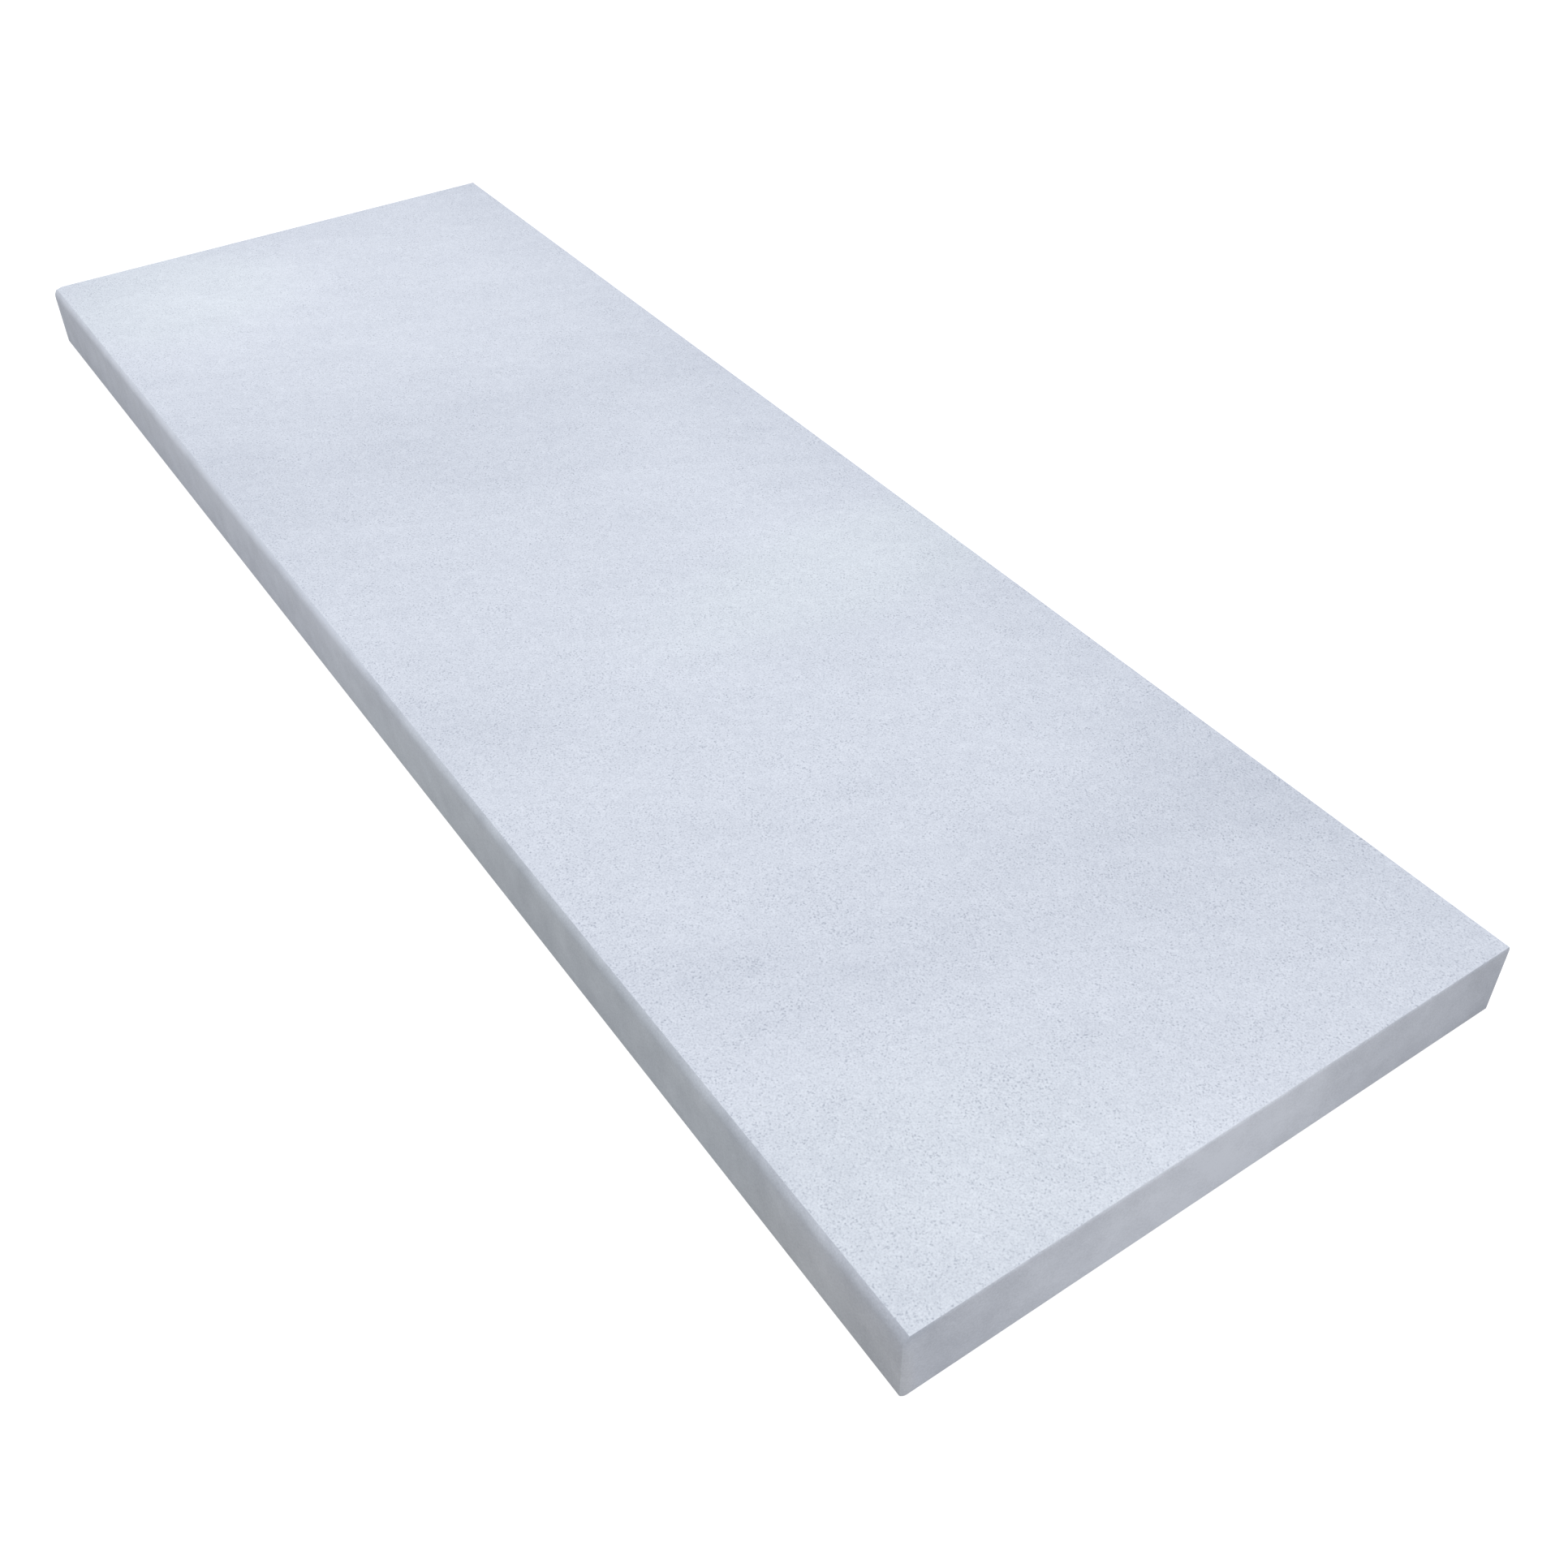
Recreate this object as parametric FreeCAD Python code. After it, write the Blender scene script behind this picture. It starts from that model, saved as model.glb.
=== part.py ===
# Coping stone for a free-standing wall: one slab of pale stone, sawn flat on every side.
# Millimetres. +X runs along the wall, +Y across it from front to back and +Z up.
# The origin is the middle of the bed, the underside that lies on the wall.

import FreeCAD, Part
import math
import os

# The slab
LENGTH = 1000.0
WIDTH = 330.0
THICKNESS = 40.0

# The rubbed arris along the front of the top face, across the top and down the front
FRONT_ARRIS_ACROSS = 2.0
FRONT_ARRIS_DOWN = 4.2

# The two upright corners of the front, rubbed round
FRONT_CORNER_RADIUS = 2.5

# The fine arris that the mason leaves on every other sawn edge
SAWN_ARRIS = 0.5

# Places worked out from the sizes above
END = LENGTH / 2
BACK = WIDTH / 2
FRONT = -BACK
BED = 0.0
TOP = BED + THICKNESS


def line(start, finish):
    return Part.LineSegment(start, finish).toShape()


def arc(start, middle, finish):
    return Part.Arc(start, middle, finish).toShape()


def prism(edges, direction):
    """A closed outline, swept straight along one direction."""
    return Part.Face(Part.Wire(edges)).extrude(direction)


def across_section():
    """Section across the wall, with the rubbed arris at the front of the top, as long as the slab."""
    def at(y, z):
        return FreeCAD.Vector(-END, y, z)

    # The arris is a round that leaves the front face smoothly and meets the top face in a crisp line
    radius = (FRONT_ARRIS_ACROSS ** 2 + FRONT_ARRIS_DOWN ** 2) / (2 * FRONT_ARRIS_ACROSS)
    half_turn = math.atan2(FRONT_ARRIS_ACROSS, FRONT_ARRIS_DOWN)
    arris_top = at(FRONT + FRONT_ARRIS_ACROSS, TOP)
    arris_foot = at(FRONT, TOP - FRONT_ARRIS_DOWN)
    arris_middle = arris_foot + FreeCAD.Vector(
        0, radius * (1 - math.cos(half_turn)), radius * math.sin(half_turn)
    )

    bed_front = at(FRONT + SAWN_ARRIS, BED)
    bed_back = at(BACK - SAWN_ARRIS, BED)
    back_foot = at(BACK, BED + SAWN_ARRIS)
    back_head = at(BACK, TOP - SAWN_ARRIS)
    top_back = at(BACK - SAWN_ARRIS, TOP)
    front_foot = at(FRONT, BED + SAWN_ARRIS)
    return prism(
        [
            line(bed_front, bed_back),
            line(bed_back, back_foot),
            line(back_foot, back_head),
            line(back_head, top_back),
            line(top_back, arris_top),
            arc(arris_top, arris_middle, arris_foot),
            line(arris_foot, front_foot),
            line(front_foot, bed_front),
        ],
        FreeCAD.Vector(LENGTH, 0, 0),
    )


def along_section():
    """Section along the wall, with a fine arris above and below each end, as deep as the slab is wide."""
    def at(x, z):
        return FreeCAD.Vector(x, FRONT, z)

    points = [
        at(-END + SAWN_ARRIS, BED),
        at(END - SAWN_ARRIS, BED),
        at(END, BED + SAWN_ARRIS),
        at(END, TOP - SAWN_ARRIS),
        at(END - SAWN_ARRIS, TOP),
        at(-END + SAWN_ARRIS, TOP),
        at(-END, TOP - SAWN_ARRIS),
        at(-END, BED + SAWN_ARRIS),
    ]
    edges = [line(a, b) for a, b in zip(points, points[1:] + points[:1])]
    return prism(edges, FreeCAD.Vector(0, WIDTH, 0))


def plan():
    """Outline seen from above, with the front corners rubbed round, as high as the slab is thick."""
    def at(x, y):
        return FreeCAD.Vector(x, y, BED)

    radius = FRONT_CORNER_RADIUS
    inset = radius * (1 - math.cos(math.pi / 4))
    return prism(
        [
            line(at(-END + radius, FRONT), at(END - radius, FRONT)),
            arc(at(END - radius, FRONT), at(END - inset, FRONT + inset), at(END, FRONT + radius)),
            line(at(END, FRONT + radius), at(END, BACK - SAWN_ARRIS)),
            line(at(END, BACK - SAWN_ARRIS), at(END - SAWN_ARRIS, BACK)),
            line(at(END - SAWN_ARRIS, BACK), at(-END + SAWN_ARRIS, BACK)),
            line(at(-END + SAWN_ARRIS, BACK), at(-END, BACK - SAWN_ARRIS)),
            line(at(-END, BACK - SAWN_ARRIS), at(-END, FRONT + radius)),
            arc(at(-END, FRONT + radius), at(-END + inset, FRONT + inset), at(-END + radius, FRONT)),
        ],
        FreeCAD.Vector(0, 0, THICKNESS),
    )


def coping_stone():
    """The slab is what the three sections have in common, as if sawn from three sides."""
    return across_section().common(along_section()).common(plan()).removeSplitter()


os.makedirs("parts", exist_ok=True)
stone = coping_stone().Solids[0]
stone.exportStep("parts/coping_stone.step")
box = stone.BoundBox
print(f"coping_stone: {box.XLength:.2f} x {box.YLength:.2f} x {box.ZLength:.2f} mm")
print(f"volume {stone.Volume / 1e6:.4f} litres, {len(stone.Faces)} faces, valid {stone.isValid()}")
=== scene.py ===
# %% [markdown]
# # A coping stone for a garden wall
# A coping stone is the slab that caps a free-standing wall and keeps the rain out of it. This one is a single piece
# of pale, fine-grained stone. Its top face was blasted with sand, which leaves it bright and rough. Its sides were
# sawn and rubbed smooth, so they look darker, and the long front edge of the top was rounded by hand.
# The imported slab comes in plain. This lesson models its worn edges and relief over again and gives it its finishes.

# %% Load the plain slab
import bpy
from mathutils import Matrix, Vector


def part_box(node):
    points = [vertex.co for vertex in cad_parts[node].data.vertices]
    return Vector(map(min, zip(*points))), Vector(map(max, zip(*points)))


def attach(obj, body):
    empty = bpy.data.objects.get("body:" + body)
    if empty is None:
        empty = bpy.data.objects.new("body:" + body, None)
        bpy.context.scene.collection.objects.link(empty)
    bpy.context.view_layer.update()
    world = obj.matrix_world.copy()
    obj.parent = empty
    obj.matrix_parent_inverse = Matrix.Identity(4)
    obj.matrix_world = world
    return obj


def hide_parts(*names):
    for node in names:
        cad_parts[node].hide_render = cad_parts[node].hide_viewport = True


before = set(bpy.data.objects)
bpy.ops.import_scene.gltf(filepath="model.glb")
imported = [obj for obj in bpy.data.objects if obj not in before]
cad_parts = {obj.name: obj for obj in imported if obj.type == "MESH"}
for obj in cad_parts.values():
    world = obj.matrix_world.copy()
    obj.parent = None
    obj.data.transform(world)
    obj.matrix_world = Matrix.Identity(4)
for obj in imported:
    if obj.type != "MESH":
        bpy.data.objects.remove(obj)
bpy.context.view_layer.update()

low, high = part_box("coping_stone")
slab = high - low
print(f"Packed slab: {slab.x:.3f} m long, {slab.y:.3f} m wide, {slab.z:.3f} m thick")

# %% [markdown]
# ## Saw the slab
# The mason starts from a sawn block, and so does the model: a cube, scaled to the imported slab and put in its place.
# A cube's size could also be set by dragging its corners, but a scale that is applied at once leaves the object at
# the origin, unturned and unscaled, with its place in its mesh. Everything is deselected first, because the packed
# slab is still selected and an operator acts on all that is selected.

# %% A cube of the slab's size
import bpy

middle = (low + high) / 2
bpy.ops.object.select_all(action="DESELECT")
bpy.ops.mesh.primitive_cube_add(size=1, location=middle, scale=slab)
stone = bpy.context.object
stone.name = "dressed_coping_stone"
bpy.ops.object.transform_apply(location=True, rotation=True, scale=True)
print(f"Sawn block: {len(stone.data.polygons)} faces")

# %% [markdown]
# ## Rub the front arris
# An arris is the edge where two faces meet. Here the mason rubbed the long front arris with a stone, stroke by
# stroke, until it was round where it leaves the front face, and stopped at a crisp line on the top face.
# A bevel would be quicker, but it takes as much from the top as from the front. Bisect, which cuts the whole mesh
# along a plane and throws one side away, is the mason's own stroke, so each stroke here is one bisect along a plane
# that touches the round. Its threshold, the distance at which a point counts as lying on the plane, is far smaller
# than a stroke, or neighbouring strokes would run together.

# %% One stroke, and a round made of strokes
import math
from mathutils import Vector

MM = 0.001
SAW_FINENESS = 0.001 * MM


def saw_off(point, outward):
    """One straight cut: what lies outward of the plane falls away and the cut is closed with a face."""
    bpy.ops.mesh.select_all(action="SELECT")
    bpy.ops.mesh.bisect(
        plane_co=point, plane_no=outward, use_fill=True, clear_outer=True, threshold=SAW_FINENESS
    )


def rub_round(name, smooth, crisp, across, down, strokes):
    """Rounds an edge: it leaves the smooth face this far down and ends at a line this far across the crisp face."""
    turn = 2 * math.atan2(across, down)
    radius = down / math.sin(turn)
    edge = middle + (smooth + crisp) * slab / 2
    centre = edge - radius * smooth - down * crisp
    for stroke in range(strokes):
        angle = turn * (stroke + 0.5) / strokes
        outward = math.cos(angle) * smooth + math.sin(angle) * crisp
        saw_off(centre + radius * outward, outward)
    print(f"{name}: radius {radius / MM:.1f} mm, turned through {math.degrees(turn):.0f} degrees")


# %% The strokes along the front arris
FRONT, BACK = Vector((0, -1, 0)), Vector((0, 1, 0))
NEAR_END, FAR_END = Vector((1, 0, 0)), Vector((-1, 0, 0))
TOP, BED = Vector((0, 0, 1)), Vector((0, 0, -1))
ARRIS_ACROSS = 2.3 * MM
ARRIS_DOWN = 5.8 * MM
ARRIS_STROKES = 8

bpy.ops.object.mode_set(mode="EDIT")
rub_round("Front arris", FRONT, TOP, ARRIS_ACROSS, ARRIS_DOWN, ARRIS_STROKES)

# %% [markdown]
# ## Round the corners and ease the other edges
# The same rubbing went round the two upright corners at the ends of the front, the near one more than the far one,
# and lightly along the top edge of the near end. Each of these rounds leaves the end smoothly and stops at a crisp
# line on the front or the top. The far top corner was knocked round, which is a ball, cut by strokes that touch it
# from all sides. Every other edge has one light stroke, because a real edge is never perfectly sharp. A bevel would
# do for those, but with the stroke at hand it is one loop over pairs of faces.

# %% The strokes at the two ends
CORNER_ACROSS = 1.2 * MM
CORNER_ALONG = 2.8 * MM
FAR_WEAR = 0.2
NEAR_EDGE_ACROSS = 0.5 * MM
NEAR_EDGE_DOWN = 2.0 * MM
END_STROKES = 6

rub_round("Near upright corner", NEAR_END, FRONT, CORNER_ACROSS, CORNER_ALONG, END_STROKES)
rub_round("Far upright corner", FAR_END, FRONT, FAR_WEAR * CORNER_ACROSS, FAR_WEAR * CORNER_ALONG, END_STROKES)
rub_round("Near top edge", NEAR_END, TOP, NEAR_EDGE_ACROSS, NEAR_EDGE_DOWN, END_STROKES)

# %% The corner that was knocked round
KNOCKED_RADIUS = 2.4 * MM
KNOCKED_RISES = (18, 36, 54, 72)
KNOCKED_SWINGS = (22, 45, 68)

knocked_centre = Vector((low.x + KNOCKED_RADIUS, low.y + KNOCKED_RADIUS, high.z - KNOCKED_RADIUS))
for rise_degrees in KNOCKED_RISES:
    for swing_degrees in KNOCKED_SWINGS:
        rise, swing = math.radians(rise_degrees), math.radians(swing_degrees)
        outward = Vector((-math.cos(rise) * math.sin(swing), -math.cos(rise) * math.cos(swing), math.sin(rise)))
        saw_off(knocked_centre + KNOCKED_RADIUS * outward, outward)
print(f"Knocked corner: radius {KNOCKED_RADIUS / MM:.1f} mm")

# %% One light stroke along each sawn edge
SAWN_ARRIS = 0.1 * MM

sawn_edges = [(TOP, BACK), (TOP, FAR_END), (BACK, NEAR_END), (BACK, FAR_END)]
bed_edges = [(BED, side) for side in (FRONT, BACK, NEAR_END, FAR_END)]
for face, other in sawn_edges + bed_edges:
    saw_off(middle + (face + other) * slab / 2 - SAWN_ARRIS * face, face + other)
bpy.ops.object.mode_set(mode="OBJECT")
print(f"All edges dressed: {len(stone.data.polygons)} faces")

# %% [markdown]
# ## Cut the faces into a net
# Relief needs points to move. Subdividing the long faces would give long thin cells, so the slab is sliced instead:
# a bisect that throws nothing away only adds a line of points all round. Slices along the length, the width and the
# thickness make a net of nearly square cells that every face shares. The top carries most of the relief and is then
# subdivided once more.

# %% Slices along each axis
NET = 5.0 * MM
SIDE_NET = 8.0 * MM


def slice_through(axis, pitch):
    """Even slices along one axis, about one pitch apart. Returns how many were made."""
    normal = Vector((0, 0, 0))
    normal[axis] = 1
    cells = round(slab[axis] / pitch)
    for cell in range(1, cells):
        bpy.ops.mesh.select_all(action="SELECT")
        place = normal * (low[axis] + slab[axis] * cell / cells)
        bpy.ops.mesh.bisect(plane_co=place, plane_no=normal, threshold=SAW_FINENESS)
    return cells - 1


bpy.ops.object.mode_set(mode="EDIT")
slices = [slice_through(0, NET), slice_through(1, NET), slice_through(2, SIDE_NET)]
print(f"Slices along the length, width and thickness: {slices}")

# %% A finer net on the top
STRAIGHT_UP = 0.99

bpy.ops.mesh.select_all(action="DESELECT")
bpy.ops.object.mode_set(mode="OBJECT")
for face in stone.data.polygons:
    face.select = face.normal.z > STRAIGHT_UP
bpy.ops.object.mode_set(mode="EDIT")
bpy.ops.mesh.select_mode(type="FACE")
bpy.ops.mesh.subdivide(number_cuts=1)
bpy.ops.object.mode_set(mode="OBJECT")
print(f"Net: {len(stone.data.vertices)} points, {len(stone.data.polygons)} faces")

# %% [markdown]
# ## Blasted and rubbed relief
# Sand takes more from the soft places of the stone than from the hard ones, so the top is very slightly uneven, and
# no hand rubs an edge equally all along. Sculpting could do both, but a Displace modifier is even over a metre of
# stone and does the same each time. It moves the points by a cloud texture, and a vertex group says how much of that
# each point gets. Its middle level of 1 makes it cut inwards only, as tools do, so the slab never grows.

# %% Weights: how much of each relief a point gets
TOP_SKIN = 0.01 * MM
ARRIS_REACH = 7.0 * MM


def paint_weights(name, weight_of):
    """A vertex group with a weight for each point, worked out from where it is."""
    group = stone.vertex_groups.new(name=name)
    reached = 0
    for point in stone.data.vertices:
        weight = weight_of(point.co)
        if weight > 0:
            group.add([point.index], weight, "REPLACE")
            reached += 1
    print(f"Weights of {name}: {reached} points")


def on_top(place):
    """1 for the points of the flat top and 0 for all others."""
    return 1.0 if place.z > high.z - TOP_SKIN else 0.0


def near_front_arris(place):
    """1 where the front edge was before it was rubbed, falling to 0 at the arris's reach."""
    away = math.hypot(place.y - low.y, place.z - high.z)
    return max(0.0, 1.0 - away / ARRIS_REACH)


paint_weights("top", on_top)
paint_weights("front_arris", near_front_arris)

# %% The two reliefs
HOLLOW_DEPTH = 0.16 * MM
HOLLOW_SIZE = 9.0 * MM
RUBBING_DEPTH = 0.9 * MM
RUBBING_SIZE = 24.0 * MM


def carve(name, group, depth, size, direction):
    """Cuts the points of a group inwards by up to a depth, in soft patches of about this size."""
    patches = bpy.data.textures.new(name, "CLOUDS")
    patches.noise_scale = size
    relief = stone.modifiers.new(name, "DISPLACE")
    relief.texture = patches
    relief.texture_coords = "LOCAL"
    relief.vertex_group = group
    relief.direction = direction
    relief.strength = depth
    relief.mid_level = 1.0
    bpy.ops.object.modifier_apply(modifier=name)


carve("blasted hollows", "top", HOLLOW_DEPTH, HOLLOW_SIZE, direction="Z")
top_group = stone.vertex_groups["top"].index
top_points = [point for point in stone.data.vertices if top_group in [member.group for member in point.groups]]
hollows = [high.z - point.co.z for point in top_points]
print(f"Hollows of the top: {min(hollows) / MM:.2f} to {max(hollows) / MM:.2f} mm deep")
carve("uneven rubbing", "front_arris", RUBBING_DEPTH, RUBBING_SIZE, direction="NORMAL")
print(f"Uneven rubbing of the front arris: up to {RUBBING_DEPTH / MM:.1f} mm times a point's weight")

# %% [markdown]
# ## Smooth shading with crisp lines
# Smooth shading blends the facets of the rounds into one another. On its own it would blur the edges as well, so it
# is limited by angle, which leaves the line between the arris and the top as crisp as the real one.

# %% Shade by angle
CRISP_ANGLE = math.radians(28)

bpy.ops.object.shade_smooth_by_angle(angle=CRISP_ANGLE)
print(f"Smooth up to {math.degrees(CRISP_ANGLE):.0f} degrees")

# %% [markdown]
# ## Tools for the finishes
# Each finish is a small graph of nodes. It could be laid out by hand in the shader editor, but the helpers below add
# a node with its settings, join sockets and do sums, so that a finish reads from top to bottom. All patterns read
# Object coordinates: they are metres in the stone itself, so a band that crosses the top goes on down the side, as
# it does in a real block.

# %% Node helpers
def add_node(tree, kind, inputs=(), **settings):
    """A new node. Settings are its own properties, inputs are pairs of a socket's name or number and what it gets."""
    node = tree.nodes.new(kind)
    for name, value in settings.items():
        setattr(node, name, value)
    for name, value in dict(inputs).items():
        feed(tree, node.inputs[name], value)
    return node


def feed(tree, socket, value):
    """Gives a socket a plain value, or joins another node's output to it."""
    if isinstance(value, bpy.types.NodeSocket):
        tree.links.new(value, socket)
    else:
        socket.default_value = value


def sums(tree, operation, first, second):
    """The result of one sum, such as ADD or MULTIPLY, on two values or sockets."""
    return add_node(tree, "ShaderNodeMath", {0: first, 1: second}, operation=operation).outputs[0]


def spread(tree, value, lowest, highest, to_lowest, to_highest, curve="LINEAR"):
    """A value moved from one range to another, and held there."""
    numbers = enumerate((value, lowest, highest, to_lowest, to_highest))
    return add_node(tree, "ShaderNodeMapRange", numbers, interpolation_type=curve).outputs[0]


# %% Noise and what varies with it
def noise(tree, place, spot, detail, turn, roughness=0.5):
    """Soft noise about 0.5. A spot has this length, width and height in metres, and is turned by degrees."""
    inputs = {"Vector": place, "Rotation": [math.radians(angle) for angle in turn], "Scale": spot}
    laid = add_node(tree, "ShaderNodeMapping", inputs, vector_type="TEXTURE")
    inputs = {"Vector": laid.outputs[0], "Scale": 1.0, "Detail": detail, "Roughness": roughness, "Lacunarity": 2.2}
    return add_node(tree, "ShaderNodeTexNoise", inputs).outputs["Fac"]


def swung(tree, pattern, lowest, highest, swing=0.3):
    """From lowest to highest while a noise goes from its swing below 0.5 to its swing above it."""
    return spread(tree, pattern, 0.5 - swing, 0.5 + swing, lowest, highest)


def varied(tree, tone, pattern, strength, swing=0.3):
    """A tone that a noise makes darker or paler by up to a strength."""
    return sums(tree, "ADD", tone, swung(tree, pattern, -strength, strength, swing))


# %% [markdown]
# ## Clouds in the stone, and painted light and shade
# Some balls are not clouds but painted light and painted shade: a paler far end of the top, a paler top and middle of
# the front, and darker feet of the front and the end.
# The stone has soft bands across its length, and a few larger pale and dark clouds. Noise alone would put them just
# anywhere, so the large ones are placed one by one: each is a soft ball of tone, squeezed and turned by a Mapping
# node.
# The same noise bends the edges of every ball, so that none looks round.

# %% The clouds of the top, and painted light at its far end
# Each has its centre and its reach in metres, its turn in degrees and how much paler (or darker, below 0) it is
TOP_CLOUDS_AND_LIGHT = {
    "dull back edge": ((0.05, 0.18, 0.04), (0.80, 0.10, 0.10), 0, -1.2),
    "dark by the back edge": ((0.375, 0.15, 0.04), (0.15, 0.15, 0.10), 0, -1.1),
    "dark first band": ((0.34, 0.0, 0.04), (0.06, 0.26, 0.10), -8, -0.6),
    "pale near end": ((0.485, -0.06, 0.04), (0.07, 0.16, 0.10), -10, 0.8),
    "pale near edge": ((0.51, -0.02, 0.04), (0.04, 0.09, 0.10), 0, 0.8),
    "pale near corner": ((0.43, -0.12, 0.04), (0.09, 0.07, 0.10), 0, 0.5),
    "pale wedge": ((0.09, 0.13, 0.04), (0.10, 0.20, 0.10), -6, 1.0),
    "dark under the wedge": ((0.11, -0.16, 0.04), (0.07, 0.10, 0.10), -10, -0.7),
    "dark second band": ((-0.15, -0.03, 0.04), (0.11, 0.32, 0.10), -5, -0.9),
    "heart of the second band": ((-0.165, 0.0, 0.04), (0.05, 0.15, 0.10), -5, -0.3),
    "dark front edge": ((-0.20, -0.17, 0.04), (0.13, 0.08, 0.10), 0, -0.8),
    # Painted light: the far end of the top is painted paler
    "painted light on the far end of the top": ((-0.37, 0.0, 0.04), (0.17, 0.24, 0.10), -10, 0.8),
    "pale far corner": ((-0.43, -0.09, 0.04), (0.13, 0.13, 0.10), -15, 1.3),
    "dull far back corner": ((-0.47, 0.16, 0.04), (0.12, 0.07, 0.10), 0, -0.7),
}
print(f"Placed clouds on the top: {len(TOP_CLOUDS_AND_LIGHT)}")

# %% The clouds of the near end and the front, with painted light and painted shade
# As on the top: centre, reach, turn and how much paler
SIDE_CLOUDS_AND_LIGHT = {
    # The near end is paler in its middle and duller towards its front and back
    "pale heart of the end": ((0.50, -0.01, 0.02), (0.15, 0.17, 0.10), 0, 2.7),
    "dark patch on the end": ((0.50, 0.075, 0.03), (0.10, 0.045, 0.05), 0, -1.5),
    "dull patch on the end": ((0.50, -0.07, 0.02), (0.10, 0.035, 0.05), 0, -0.3),
    "dull back of the end": ((0.50, 0.165, 0.02), (0.10, 0.09, 0.10), 0, -1.7),
    # Painted shade: the back of the end is painted darker towards its foot
    "painted shade at the back foot of the end": ((0.50, 0.175, -0.01), (0.10, 0.05, 0.035), 0, -1.3),
    "dull front of the end": ((0.50, -0.15, 0.025), (0.08, 0.06, 0.10), 0, -1.2),
    "dark top of the end's front": ((0.50, -0.14, 0.045), (0.05, 0.06, 0.03), 0, -1.0),
    "pale foot of the end": ((0.50, -0.03, -0.01), (0.10, 0.10, 0.035), 0, 1.3),
    # Painted sheen: the middle of the front, towards its far end, is painted paler
    "painted sheen on the middle of the front": ((-0.14, -0.165, 0.04), (0.45, 0.10, 0.08), 0, 2.1),
    # Painted light: the top of the front is painted paler, as if lit from above
    "painted light on the top of the front": ((0.05, -0.165, 0.045), (0.90, 0.04, 0.03), 0, 0.5),
    "pale near corner of the front": ((0.46, -0.165, 0.035), (0.06, 0.05, 0.05), 0, 0.8),
    "smudge on the front": ((0.395, -0.165, 0.02), (0.025, 0.05, 0.06), 0, -0.9),
    "dull near half of the front": ((0.22, -0.165, 0.025), (0.12, 0.05, 0.05), 0, -0.8),
    "pale strip on the front": ((0.0, -0.165, 0.03), (0.08, 0.05, 0.05), 0, 0.6),
    # Painted light: the far top of the front is painted paler
    "painted light on the far top of the front": ((-0.26, -0.165, 0.04), (0.06, 0.04, 0.025), 0, 0.6),
    # Painted shade: the far part of the front is painted darker towards its foot
    "painted shade at the foot of the front": ((-0.42, -0.165, 0.0), (0.20, 0.10, 0.04), 0, -0.6),
}
print(f"Placed clouds on the sides: {len(SIDE_CLOUDS_AND_LIGHT)}")

# %% Bands, wisps, placed clouds and painted light together
BENDS_PER_METRE = 16
BEND_REACH = 0.08
BAND_STRENGTH = 0.5
WISP_STRENGTH = 0.35


def soft_ball(tree, name, place, centre, reach, turn=0):
    """1 at the centre of a ball that is squeezed to its reach and turned about Z by degrees, and 0 outside it."""
    inputs = {"Vector": place, "Location": centre, "Rotation": (0, 0, math.radians(turn)), "Scale": reach}
    squeezed = add_node(tree, "ShaderNodeMapping", inputs, vector_type="TEXTURE", label=name).outputs[0]
    return add_node(tree, "ShaderNodeTexGradient", {"Vector": squeezed}, gradient_type="SPHERICAL").outputs["Fac"]


def bent(tree, place):
    """The place, shifted to and fro by a noise."""
    inputs = {"Vector": place, "Scale": BENDS_PER_METRE, "Detail": 3}
    shift = add_node(tree, "ShaderNodeTexNoise", inputs).outputs["Color"]
    half = (0.5, 0.5, 0.5)
    shift = add_node(tree, "ShaderNodeVectorMath", {0: shift, 1: half}, operation="SUBTRACT").outputs[0]
    shift = add_node(tree, "ShaderNodeVectorMath", {0: shift, "Scale": BEND_REACH}, operation="SCALE").outputs[0]
    return add_node(tree, "ShaderNodeVectorMath", {0: place, 1: shift}, operation="ADD").outputs[0]


def clouds_and_painted_light(tree, place, placed_balls):
    """How much paler (or darker, below 0) each place is painted, by the stone's clouds and by painted light and
    shade.
    """
    bands = noise(tree, place, spot=(0.06, 0.24, 0.10), detail=4, turn=(20, 10, -20))
    wisps = noise(tree, place, spot=(0.02, 0.09, 0.03), detail=4, turn=(15, 10, -25))
    total = swung(tree, bands, -BAND_STRENGTH, BAND_STRENGTH)
    total = varied(tree, total, wisps, WISP_STRENGTH)
    ragged = bent(tree, place)
    for name, (centre, reach, turn, strength) in placed_balls.items():
        ball = soft_ball(tree, name, ragged, centre, reach, turn)
        total = sums(tree, "ADD", total, spread(tree, ball, 0, 1, 0, strength, "SMOOTHSTEP"))
    return total


# %% [markdown]
# ## The blasted top
# Blasting bleaches the stone and leaves tiny dark pits between the pale grains, some alone and some in clusters.
# The pits start as the dots of a Voronoi texture, which are all alike. The grain noise added to the distance from
# each dot makes some of them larger and ragged and closes others, and two coarser noises make them crowd together.
# The lowest valleys of the grain are darker as well. All that is light or dark adds up to one tone, and a Mix node
# turns it into a colour between dark and pale stone. Scaling a single colour would also do, but the dark pits would
# then lose their blue. Three of the pale clouds are faintly greenish: tints, in soft balls like the clouds, multiply
# the colour there. Pits and grain also drive a bump, because the light falls into them.

# %% A new finish, its colour and its tints
TINT_FULL = 0.6


def new_finish(name):
    """An empty material, with its shader and the stone's own coordinates. Returns material, tree, shader, place."""
    finish = bpy.data.materials.new(name)
    finish.use_nodes = True
    tree = finish.node_tree
    shader = tree.nodes["Principled BSDF"]
    place = tree.nodes.new("ShaderNodeTexCoord").outputs["Object"]
    return finish, tree, shader, place


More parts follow.
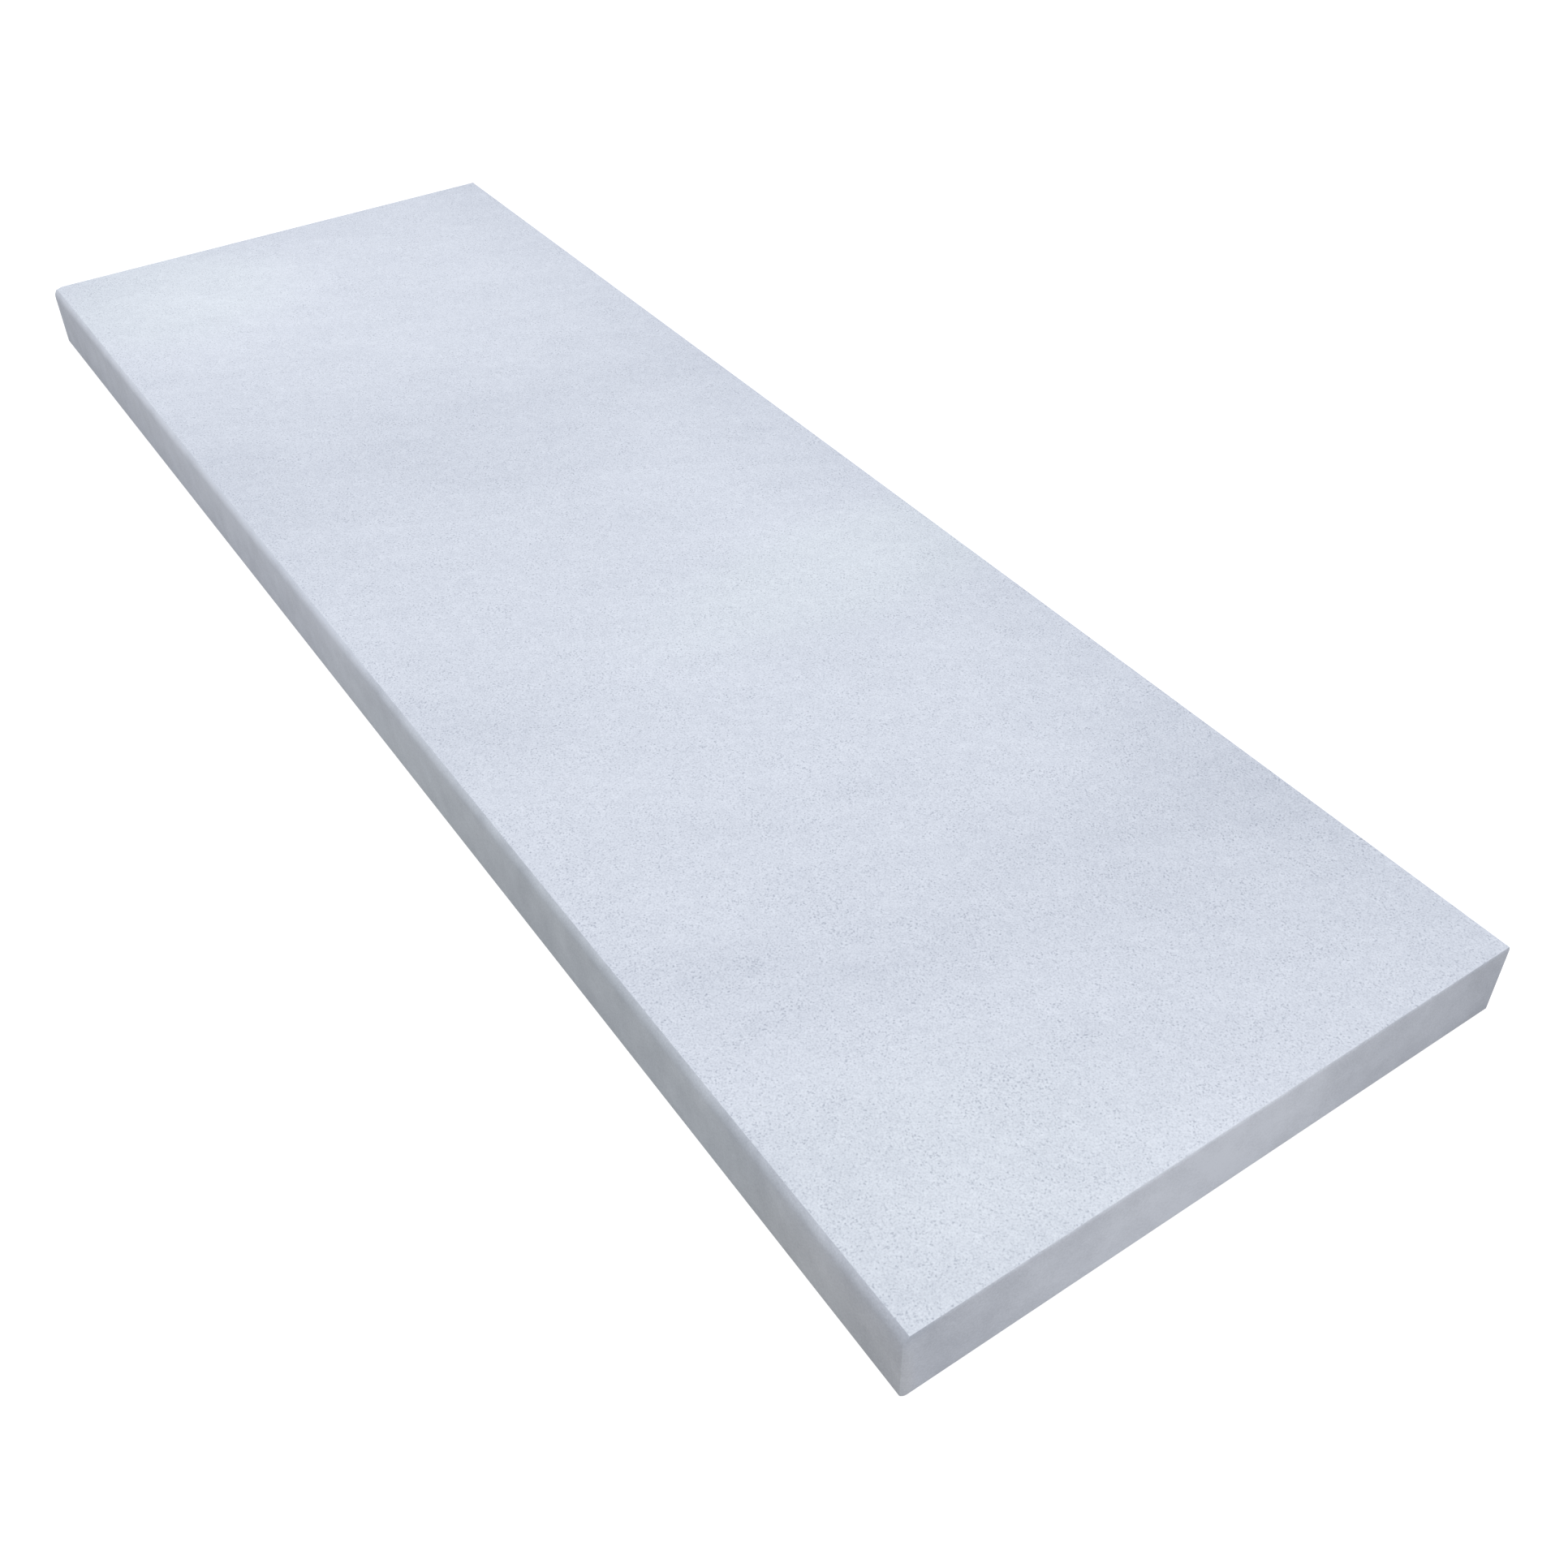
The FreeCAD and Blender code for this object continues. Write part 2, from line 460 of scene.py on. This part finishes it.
def mixed(tree, amount, first, second, blend):
    """Two colours mixed. In a Mix node for colours they are sockets 6 and 7, and the result is output 2."""
    inputs = {0: amount, 6: first, 7: second}
    return add_node(tree, "ShaderNodeMix", inputs, data_type="RGBA", blend_type=blend).outputs[2]


def stone_colour(tree, tone, dark, pale):
    """The colour of a tone: dark stone at 0, pale stone at 1."""
    return mixed(tree, tone, (*dark, 1), (*pale, 1), "MIX")


def stained(tree, place, colour, tints):
    """The colour multiplied by each tint inside that tint's soft ball, in full where the ball is over TINT_FULL."""
    for name, (centre, reach, tint) in tints.items():
        ball = soft_ball(tree, name, place, centre, reach)
        amount = spread(tree, ball, 0, TINT_FULL, 0, 1, "SMOOTHSTEP")
        colour = mixed(tree, amount, colour, (*tint, 1), "MULTIPLY")
    return colour


# %% The tints of the top
GREENISH = (0.989, 1.0, 0.985)
FAINTLY_GREENISH = (0.993, 1.0, 0.990)
# Each tint has its centre and its reach in metres and the colour that the stone is multiplied by
TOP_TINTS = {
    "greenish near corner": ((0.47, -0.14, 0.04), (0.11, 0.16, 0.10), FAINTLY_GREENISH),
    "greenish wedge": ((0.10, 0.11, 0.04), (0.065, 0.18, 0.10), GREENISH),
    "greenish far corner": ((-0.44, -0.10, 0.04), (0.10, 0.11, 0.10), GREENISH),
}
print(f"Tints of the top: {', '.join(TOP_TINTS)}")

# %% The pits
PIT_SPACING = 1.6 * MM
PIT_RAGGEDNESS = 0.16
PIT_CROWDING = 0.15
SPARSE, DENSE = 0.7, 1.3
PIT_HEART, PIT_RIM = 0.04, 0.36


def pit_pattern(tree, place, grain, mottle):
    """1 in the pits and 0 between them. Where two noises add up to more, the pits are denser."""
    clusters = noise(tree, place, spot=(12 * MM, 30 * MM, 15 * MM), detail=3, turn=(10, 20, -25))
    density = sums(tree, "ADD", clusters, mottle)
    dots = add_node(tree, "ShaderNodeTexVoronoi", {"Vector": place, "Scale": 1 / PIT_SPACING}).outputs["Distance"]
    ragged = varied(tree, dots, grain, PIT_RAGGEDNESS, swing=0.25)
    crowded = sums(tree, "ADD", ragged, spread(tree, density, SPARSE, DENSE, PIT_CROWDING, -PIT_CROWDING))
    return spread(tree, crowded, PIT_HEART, PIT_RIM, 1.0, 0.0, "SMOOTHSTEP")


# %% Blasted finish
BLASTED_DARK = (0.305, 0.341, 0.431)
BLASTED_PALE = (0.811, 0.856, 0.950)
GRAIN = 0.88 * MM
VALLEY_FLOOR, VALLEY_RIM = 0.27, 0.46
# The tone of the plain stone, and how much each pattern changes it
BLASTED_TONE = 0.715
BLASTED_CLOUDS_AND_LIGHT, BLASTED_GRAIN, BLASTED_MOTTLE = 0.08, 0.20, 0.07
VALLEY_DARKNESS, PIT_DARKNESS = 0.10, 0.26
# How deep a pit is beside the height of the grain
PIT_DEPTH = 0.5
BLASTED_ROUGHNESS = (0.82, 0.95)


def blasted_finish():
    """The bright, grainy and pitted material of the top."""
    finish, tree, shader, place = new_finish("blasted stone")
    clouds_and_light = clouds_and_painted_light(tree, place, TOP_CLOUDS_AND_LIGHT)
    grain = noise(tree, place, spot=(GRAIN, GRAIN, GRAIN), detail=2, turn=(35, 25, 50))
    mottle = noise(tree, place, spot=(5 * MM, 8 * MM, 5 * MM), detail=3, turn=(25, 35, -25))
    pits = pit_pattern(tree, place, grain, mottle)
    valleys = spread(tree, grain, VALLEY_FLOOR, VALLEY_RIM, 1.0, 0.0, "SMOOTHSTEP")
    tone = sums(tree, "ADD", BLASTED_TONE, sums(tree, "MULTIPLY", clouds_and_light, BLASTED_CLOUDS_AND_LIGHT))
    tone = varied(tree, tone, grain, BLASTED_GRAIN)
    tone = varied(tree, tone, mottle, BLASTED_MOTTLE)
    tone = sums(tree, "SUBTRACT", tone, sums(tree, "MULTIPLY", valleys, VALLEY_DARKNESS))
    tone = sums(tree, "SUBTRACT", tone, sums(tree, "MULTIPLY", pits, PIT_DARKNESS))
    colour = stone_colour(tree, tone, BLASTED_DARK, BLASTED_PALE)
    feed(tree, shader.inputs["Base Color"], stained(tree, place, colour, TOP_TINTS))
    feed(tree, shader.inputs["Roughness"], swung(tree, grain, *BLASTED_ROUGHNESS))
    height = sums(tree, "SUBTRACT", grain, sums(tree, "MULTIPLY", pits, PIT_DEPTH))
    bump = add_node(tree, "ShaderNodeBump", {"Height": height, "Strength": 0.4, "Distance": 0.3 * MM})
    feed(tree, shader.inputs["Normal"], bump.outputs["Normal"])
    feed(tree, shader.inputs["Specular IOR Level"], 0.3)
    return finish


blasted = blasted_finish()
print(f"{blasted.name}: {len(blasted.node_tree.nodes)} nodes")

# %% [markdown]
# ## The rubbed sides
# Rubbed smooth, the same stone looks darker and greyer, because less white light is scattered from its surface, and
# its clouds and streaks stand out more. The streaks run slantwise. A darker copy of the blasted finish would be
# simpler, but the rubbed faces have no pits. The far half of the front arris is painted a little paler, its far end
# more, which is painted sheen, and its near half a little duller, which is painted shade: soft balls, drawn out along
# it, make it paler or duller. The near half of the front is faintly greenish, but bluish along its arris, the far
# half is bluish, and the near corner rusty. Those tints are soft balls too, and each multiplies the colour. The
# surface has a slight sheen and hardly any bump.

# %% The front arris and the tints of the front
# Each stretch of the front arris has its centre and its reach in metres and how much paler (or darker, below 0) it
# is.
# The paler stretches are painted sheen, and the darker one is painted shade.
ARRIS_PAINTED_LIGHT = {
    "painted shade on the near half of the arris": ((0.35, -0.165, 0.0415), (0.35, 0.02, 0.010), -0.10),
    "painted sheen on the far half of the arris": ((-0.5, -0.165, 0.0415), (0.75, 0.02, 0.010), 0.10),
    "painted sheen on the far end of the arris": ((-0.5, -0.165, 0.0415), (0.28, 0.02, 0.010), 0.20),
}
STRETCH_FULL = 0.8
# As on the top, each tint has its centre, its reach and the colour that the stone is multiplied by
SIDE_TINTS = {
    "greenish near half": ((0.26, -0.165, 0.005), (0.36, 0.008, 0.055), (0.98, 1.0, 0.973)),
    "rusty near corner": ((0.47, -0.165, 0.004), (0.10, 0.008, 0.04), (1.022, 1.0, 0.98)),
    "bluish far half": ((-0.32, -0.165, 0.03), (0.55, 0.03, 0.06), (0.989, 1.0, 1.013)),
    "bluish near arris": ((0.3, -0.165, 0.0415), (0.7, 0.02, 0.010), (0.991, 1.001, 1.011)),
}
print(f"Tints of the front: {', '.join(SIDE_TINTS)}")

# %% Rubbed finish
RUBBED_DARK = (0.476, 0.508, 0.585)
RUBBED_PALE = (0.798, 0.838, 0.933)
RUBBED_SPECK = 0.9 * MM
# The tone of the plain stone, and how much each pattern changes it
RUBBED_TONE = 0.53
RUBBED_CLOUDS_AND_LIGHT, RUBBED_STREAKS, RUBBED_MOTTLE, RUBBED_GRAIN = 0.155, 0.07, 0.21, 0.19
RUBBED_ROUGHNESS = (0.52, 0.64)


def rubbed_finish():
    """The smooth, streaked and cloudy material of all sides and the bed, with painted light and shade on the front.
    """
    finish, tree, shader, place = new_finish("rubbed stone")
    clouds_and_light = clouds_and_painted_light(tree, place, SIDE_CLOUDS_AND_LIGHT)
    streaks = noise(tree, place, spot=(14 * MM, 14 * MM, 40 * MM), detail=3, turn=(25, 20, 0))
    mottle = noise(tree, place, spot=(16 * MM, 16 * MM, 24 * MM), detail=6, turn=(35, -25, 20), roughness=0.58)
    grain = noise(tree, place, spot=(RUBBED_SPECK, RUBBED_SPECK, RUBBED_SPECK), detail=1, turn=(35, 25, 50))
    tone = sums(tree, "ADD", RUBBED_TONE, sums(tree, "MULTIPLY", clouds_and_light, RUBBED_CLOUDS_AND_LIGHT))
    tone = varied(tree, tone, streaks, RUBBED_STREAKS, swing=0.25)
    tone = varied(tree, tone, mottle, RUBBED_MOTTLE, swing=0.25)
    tone = varied(tree, tone, grain, RUBBED_GRAIN)
    # Painted sheen on the far half of the front arris, painted shade on its near half
    for name, (centre, reach, strength) in ARRIS_PAINTED_LIGHT.items():
        stretch = soft_ball(tree, name, place, centre, reach)
        tone = sums(tree, "ADD", tone, spread(tree, stretch, 0, STRETCH_FULL, 0, strength, "SMOOTHSTEP"))
    colour = stone_colour(tree, tone, RUBBED_DARK, RUBBED_PALE)
    feed(tree, shader.inputs["Base Color"], stained(tree, place, colour, SIDE_TINTS))
    feed(tree, shader.inputs["Roughness"], swung(tree, streaks, *RUBBED_ROUGHNESS, swing=0.25))
    bump = add_node(tree, "ShaderNodeBump", {"Height": grain, "Strength": 0.1, "Distance": 0.05 * MM})
    feed(tree, shader.inputs["Normal"], bump.outputs["Normal"])
    feed(tree, shader.inputs["Specular IOR Level"], 0.25)
    return finish


rubbed = rubbed_finish()
print(f"{rubbed.name}: {len(rubbed.node_tree.nodes)} nodes")

# %% [markdown]
# ## Give each face its finish
# The slab is one piece with two finishes. Faces that look straight up were blasted, and all others were only sawn
# and rubbed. They could be picked in edit mode and assigned by hand, but here each face takes its finish from its
# normal. The limit is a little wide, because the hollows tilt the faces of the top.

# %% Finishes by face
BLASTED, RUBBED = 0, 1
NEARLY_UP = 0.93

stone.data.materials.append(blasted)
stone.data.materials.append(rubbed)
for face in stone.data.polygons:
    face.material_index = BLASTED if face.normal.z > NEARLY_UP else RUBBED
blasted_faces = sum(face.material_index == BLASTED for face in stone.data.polygons)
print(f"Blasted faces: {blasted_faces} of {len(stone.data.polygons)}")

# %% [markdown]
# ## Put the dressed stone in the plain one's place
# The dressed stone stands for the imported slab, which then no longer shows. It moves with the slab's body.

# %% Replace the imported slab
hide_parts("coping_stone")
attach(stone, "root")
print(f"{stone.name} stands for the packed slab")

# %% [markdown]
# ## Floor, light and camera
# The stone lies on a pale floor under a large soft panel, with a second panel towards its near end. The floor gives
# some light of its own, but only to the camera and to reflections, so it shows white without lighting the stone from
# below, and it still takes the stone's shadow. From below the floor is clear, so that the bed can be looked at.
# The camera stands where the photographer stood. The photograph's middle lies a little off the line of sight, as
# after trimming, so the lens is shifted by the same share of the picture.

# %% White floor
FLOOR_SIZE = 30
FLOOR_GREY = 0.3
FLOOR_GLOW = 0.87


def seen_directly(tree):
    """1 for rays that show the background itself: straight from the camera, in reflections or through glass."""
    ray = tree.nodes.new("ShaderNodeLightPath").outputs
    seen = sums(tree, "MAXIMUM", ray["Is Camera Ray"], ray["Is Glossy Ray"])
    return sums(tree, "MAXIMUM", seen, ray["Is Transmission Ray"])


bpy.ops.object.select_all(action="DESELECT")
bpy.ops.mesh.primitive_plane_add(size=FLOOR_SIZE, location=(0, 0, low.z))
floor = bpy.context.object
floor.name = "floor"
paper = bpy.data.materials.new("white paper")
paper.use_nodes = True
tree = paper.node_tree
tree.nodes.remove(tree.nodes["Principled BSDF"])
plain = add_node(tree, "ShaderNodeBsdfDiffuse", {"Color": (FLOOR_GREY, FLOOR_GREY, FLOOR_GREY, 1)})
glow = add_node(tree, "ShaderNodeEmission", {"Color": (1, 1, 1, 1), "Strength": FLOOR_GLOW})
white = add_node(tree, "ShaderNodeAddShader", {0: plain.outputs[0], 1: glow.outputs[0]})
shown = add_node(tree, "ShaderNodeMixShader", {0: seen_directly(tree), 1: plain.outputs[0], 2: white.outputs[0]})
below = tree.nodes.new("ShaderNodeNewGeometry").outputs["Backfacing"]
clear = tree.nodes.new("ShaderNodeBsdfTransparent").outputs[0]
one_sided = add_node(tree, "ShaderNodeMixShader", {0: below, 1: shown.outputs[0], 2: clear})
feed(tree, tree.nodes["Material Output"].inputs["Surface"], one_sided.outputs[0])
floor.data.materials.append(paper)
print(f"Floor: {floor.dimensions.x:.0f} m square, glow {FLOOR_GLOW}")

# %% White world
WORLD_LIGHT = 0.45

world = bpy.data.worlds.new("studio")
bpy.context.scene.world = world
world.use_nodes = True
tree = world.node_tree
background = tree.nodes["Background"]
feed(tree, background.inputs["Color"], (1, 1, 1, 1))
feed(tree, background.inputs["Strength"], spread(tree, seen_directly(tree), 0, 1, WORLD_LIGHT, 1.0))
print(f"World: light {WORLD_LIGHT}, seen as white")

# %% Soft panels
def panel(name, place, target, size, power):
    """A square lamp that faces a target."""
    bpy.ops.object.light_add(type="AREA", location=place)
    lamp = bpy.context.object
    lamp.name = name
    lamp.data.shape = "SQUARE"
    lamp.data.size = size
    lamp.data.energy = power
    lamp.rotation_euler = (Vector(target) - Vector(place)).to_track_quat("-Z", "Y").to_euler()
    print(f"{name}: {size} m square, {power} W")


panel("ceiling panel", place=(-0.2, 0.0, 2.4), target=(-0.2, 0.0, 0.0), size=3.0, power=45.7)
panel("end panel", place=(3.0, -0.5, 0.7), target=(0.4, 0.0, 0.0), size=1.4, power=14)

# %% Camera at the photographer's place
from mathutils import Matrix

EYE = Vector((0.741853, -0.376349, 0.588139))
TURN_LEFT = math.radians(55.1594)
LOOK_DOWN = math.radians(41.6642)
LEAN = math.radians(0.1141)
LENS_MM = 39.298
SENSOR_MM = 36
SHIFT_RIGHT = -0.01423
SHIFT_UP = -0.00216
NEAREST_SEEN = 0.01

bpy.ops.object.camera_add()
camera = bpy.context.object
camera.data.lens = LENS_MM
camera.data.sensor_width = SENSOR_MM
camera.data.shift_x = SHIFT_RIGHT
camera.data.shift_y = SHIFT_UP
camera.data.clip_start = NEAREST_SEEN
aim = Matrix.Rotation(TURN_LEFT, 4, "Z") @ Matrix.Rotation(math.pi / 2 - LOOK_DOWN, 4, "X")
camera.matrix_world = Matrix.Translation(EYE) @ aim @ Matrix.Rotation(LEAN, 4, "Z")
bpy.context.scene.camera = camera
bpy.context.scene.view_settings.view_transform = "Standard"
print(f"Camera: {LENS_MM:.0f} mm lens, {(EYE - middle).length:.2f} m from the middle of the stone")
